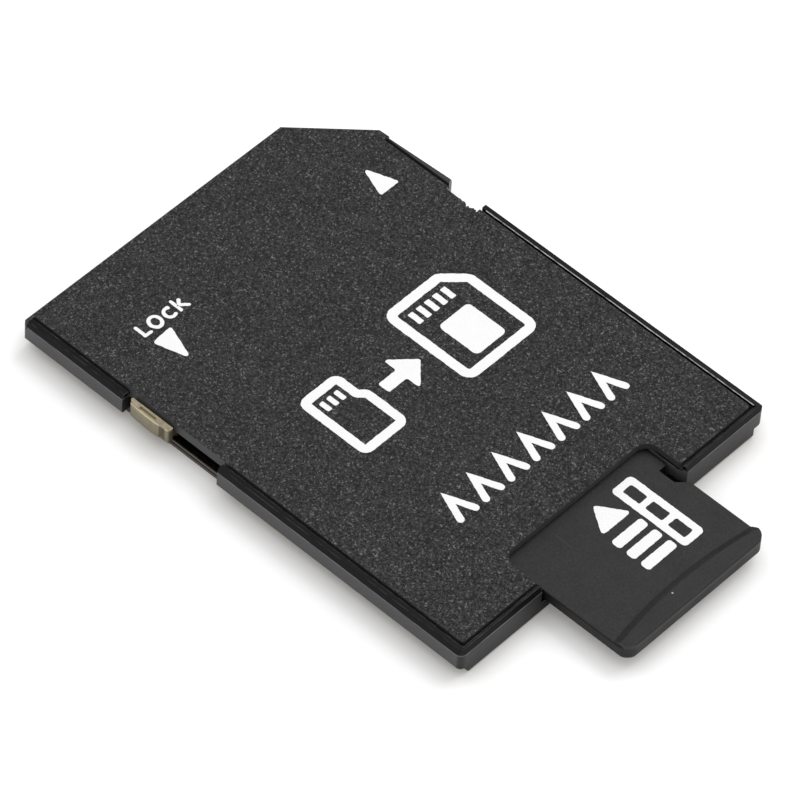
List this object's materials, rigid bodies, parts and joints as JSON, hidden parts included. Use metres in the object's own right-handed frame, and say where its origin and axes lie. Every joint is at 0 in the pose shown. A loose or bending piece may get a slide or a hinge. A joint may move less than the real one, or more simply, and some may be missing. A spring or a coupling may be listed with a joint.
{
  "type": "memory card with adapter",
  "caption": "Thin full-size card adapter with a slanted corner, side lock switch and contact pads, and a small memory card that slides into the slot in its trailing end.",
  "frame": {"origin": "middle of the adapter's underside", "axes": "+Z out of the label side, +Y towards the contact edge, +X towards the slanted corner"},
  "size_m": [0.024, 0.0379, 0.0021],
  "materials": {
    "shell_plastic": "fine moulded black plastic",
    "cover_plastic": "spark-textured black plastic",
    "carrier_plastic": "smooth black plastic",
    "slider_plastic": "smooth beige plastic",
    "contact_metal": "gold-plated spring metal",
    "card_plastic": "smooth black moulding compound",
    "pad_metal": "hard gold plating"
  },
  "bodies": {
    "adapter": {"lower_shell": "shell_plastic", "upper_cover": "cover_plastic", "contact_carrier": "carrier_plastic", "contact_data_2": "contact_metal", "contact_data_3": "contact_metal", "contact_command": "contact_metal", "contact_supply": "contact_metal", "contact_clock": "contact_metal", "contact_ground": "contact_metal", "contact_data_0": "contact_metal", "contact_data_1": "contact_metal"},
    "lock": {"lock_slider": "slider_plastic"},
    "small_card": {"card_body": "card_plastic", "card_pad_1": "pad_metal", "card_pad_2": "pad_metal", "card_pad_3": "pad_metal", "card_pad_4": "pad_metal", "card_pad_5": "pad_metal", "card_pad_6": "pad_metal", "card_pad_7": "pad_metal", "card_pad_8": "pad_metal"}
  },
  "joints": [
    {"name": "lock_slide", "type": "slide", "parent": "adapter", "child": "lock", "axis": [0, 1, 0], "range_m": [-0.0036, 0.0003]},
    {"name": "card_slide", "type": "slide", "parent": "adapter", "child": "small_card", "axis": [0, 1, 0], "range_m": [-0.0094, 0.0059]}
  ]
}
